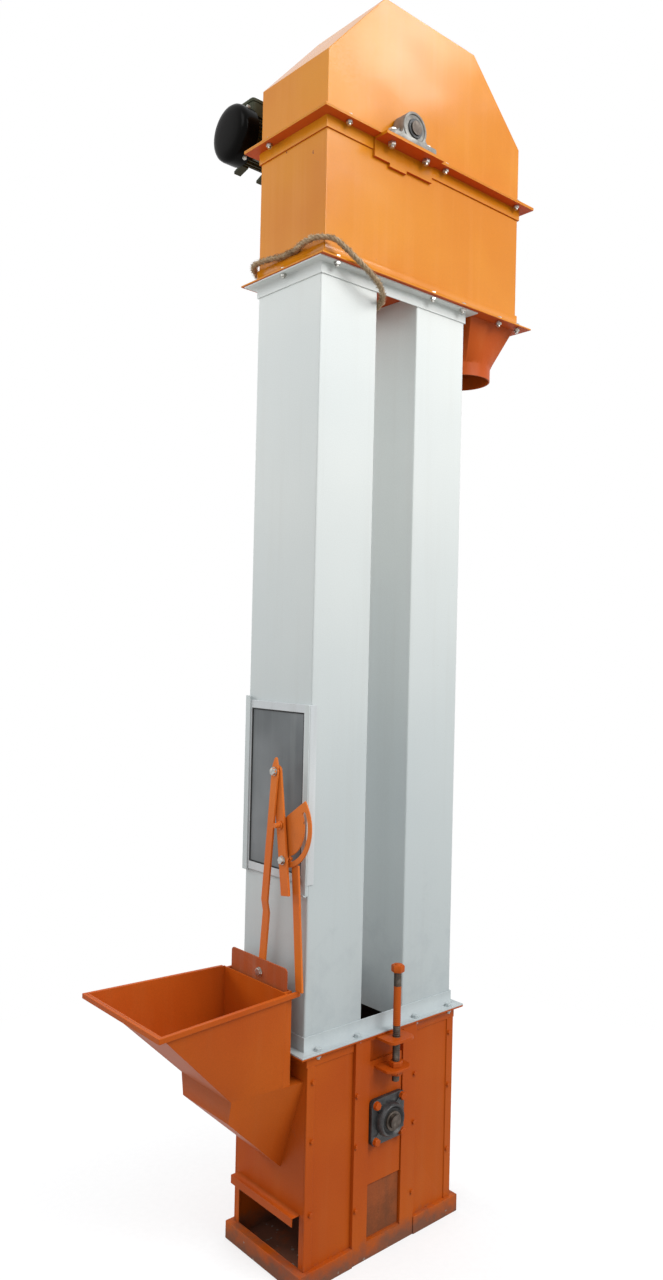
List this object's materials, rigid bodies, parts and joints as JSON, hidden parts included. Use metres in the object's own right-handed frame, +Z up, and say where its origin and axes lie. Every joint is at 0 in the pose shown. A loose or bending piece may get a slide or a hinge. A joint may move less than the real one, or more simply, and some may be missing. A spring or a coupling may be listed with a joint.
{
  "type": "bucket elevator",
  "caption": "Upright bucket elevator on its own boot, with a gated feed hopper, twin casing legs, belt take-up, shouldered head, side drive and round discharge spout.",
  "frame": {"origin": "on the ground, midway between the two casing legs", "axes": "+Z up, +X along the machine from the feed hopper to the discharge spout, -Y towards the front, with the gear drive at the back (+Y)"},
  "size_m": [1.2175, 0.571, 3.226],
  "materials": {
    "head_paint": "semi-gloss orange enamel",
    "base_paint": "dusty orange enamel",
    "leg_paint": "semi-gloss off-white enamel",
    "panel_paint": "grey enamel",
    "motor_paint": "grey-green enamel",
    "fan_cover_paint": "satin black",
    "machined_steel": "turned, slightly dull",
    "cast_bearing": "dark grey works paint and oil",
    "bare_casting": "bare sand-cast iron",
    "belt_rubber": "matt",
    "bucket_steel": "pressed steel",
    "sisal": "three-strand sisal"
  },
  "bodies": {
    "frame": {"base_frame": "base_paint", "bearing_bracket_back": "head_paint", "bearing_bracket_front": "head_paint", "boot_back_wall": "base_paint", "boot_end_wall": "base_paint", "boot_front_wall": "base_paint", "boot_inlet_wall": "base_paint", "boot_top_flange": "base_paint", "bucket_belt": "belt_rubber", "buckets": "bucket_steel", "discharge_spout": "head_paint", "drive_motor": "motor_paint", "fan_cover": "fan_cover_paint", "gate_guides": "base_paint", "gear_reducer": "motor_paint", "hatch_frame": "leg_paint", "hatch_panel": "panel_paint", "head_bearing_back": "bare_casting", "head_bearing_front": "bare_casting", "head_box": "head_paint", "head_top_angle": "head_paint", "hood": "head_paint", "hopper": "base_paint", "hopper_rim": "base_paint", "inlet_leg": "leg_paint", "leg_foot_flange": "leg_paint", "leg_head_flange": "leg_paint", "lever_quadrant": "base_paint", "quadrant_post": "base_paint", "reducer_bracket": "head_paint", "return_leg": "leg_paint", "rope_sling": "sisal", "takeup_guides_back": "base_paint", "takeup_guides_front": "base_paint"},
    "head_shaft": {"head_pulley": "machined_steel"},
    "takeup": {"takeup_slide_front": "base_paint", "takeup_slide_back": "base_paint", "tail_bearing_front": "cast_bearing", "tail_bearing_back": "cast_bearing", "takeup_screw_front": "machined_steel", "takeup_screw_back": "machined_steel"},
    "tail_shaft": {"tail_pulley": "machined_steel"},
    "lever": {"gate_lever": "base_paint"},
    "link": {"gate_link": "base_paint"},
    "gate": {"gate_plate": "base_paint"}
  },
  "joints": [
    {"name": "head_shaft_turn", "type": "hinge", "parent": "frame", "child": "head_shaft", "pos_m": [0, 0, 2.898], "axis": [0, 1, 0], "continuous": true},
    {"name": "takeup_slide", "type": "slide", "parent": "frame", "child": "takeup", "axis": [0, 0, 1], "range_m": [0, 0.05]},
    {"name": "tail_shaft_turn", "type": "hinge", "parent": "takeup", "child": "tail_shaft", "pos_m": [0, 0, 0.345], "axis": [0, 1, 0], "continuous": true},
    {"name": "gate_lever_swing", "type": "hinge", "parent": "frame", "child": "lever", "pos_m": [-0.3055, -0.071, 1.119], "axis": [-1, 0, 0], "range_deg": [0, 100]},
    {"name": "gate_link_swing", "type": "hinge", "parent": "lever", "child": "link", "pos_m": [-0.3125, -0.05277, 1.24873], "axis": [-1, 0, 0], "range_deg": [-88, 0]},
    {"name": "gate_slide", "type": "slide", "parent": "frame", "child": "gate", "axis": [0, 0, -1], "range_m": [0, 0.17]}
  ],
  "couplings": [
    {"joint": "tail_shaft_turn", "follows": "head_shaft_turn", "ratio": 1},
    {"joint": "gate_link_swing", "follows": "gate_lever_swing", "ratio": -0.8793},
    {"joint": "gate_slide", "follows": "gate_lever_swing", "m_per_rad": 0.0974}
  ]
}
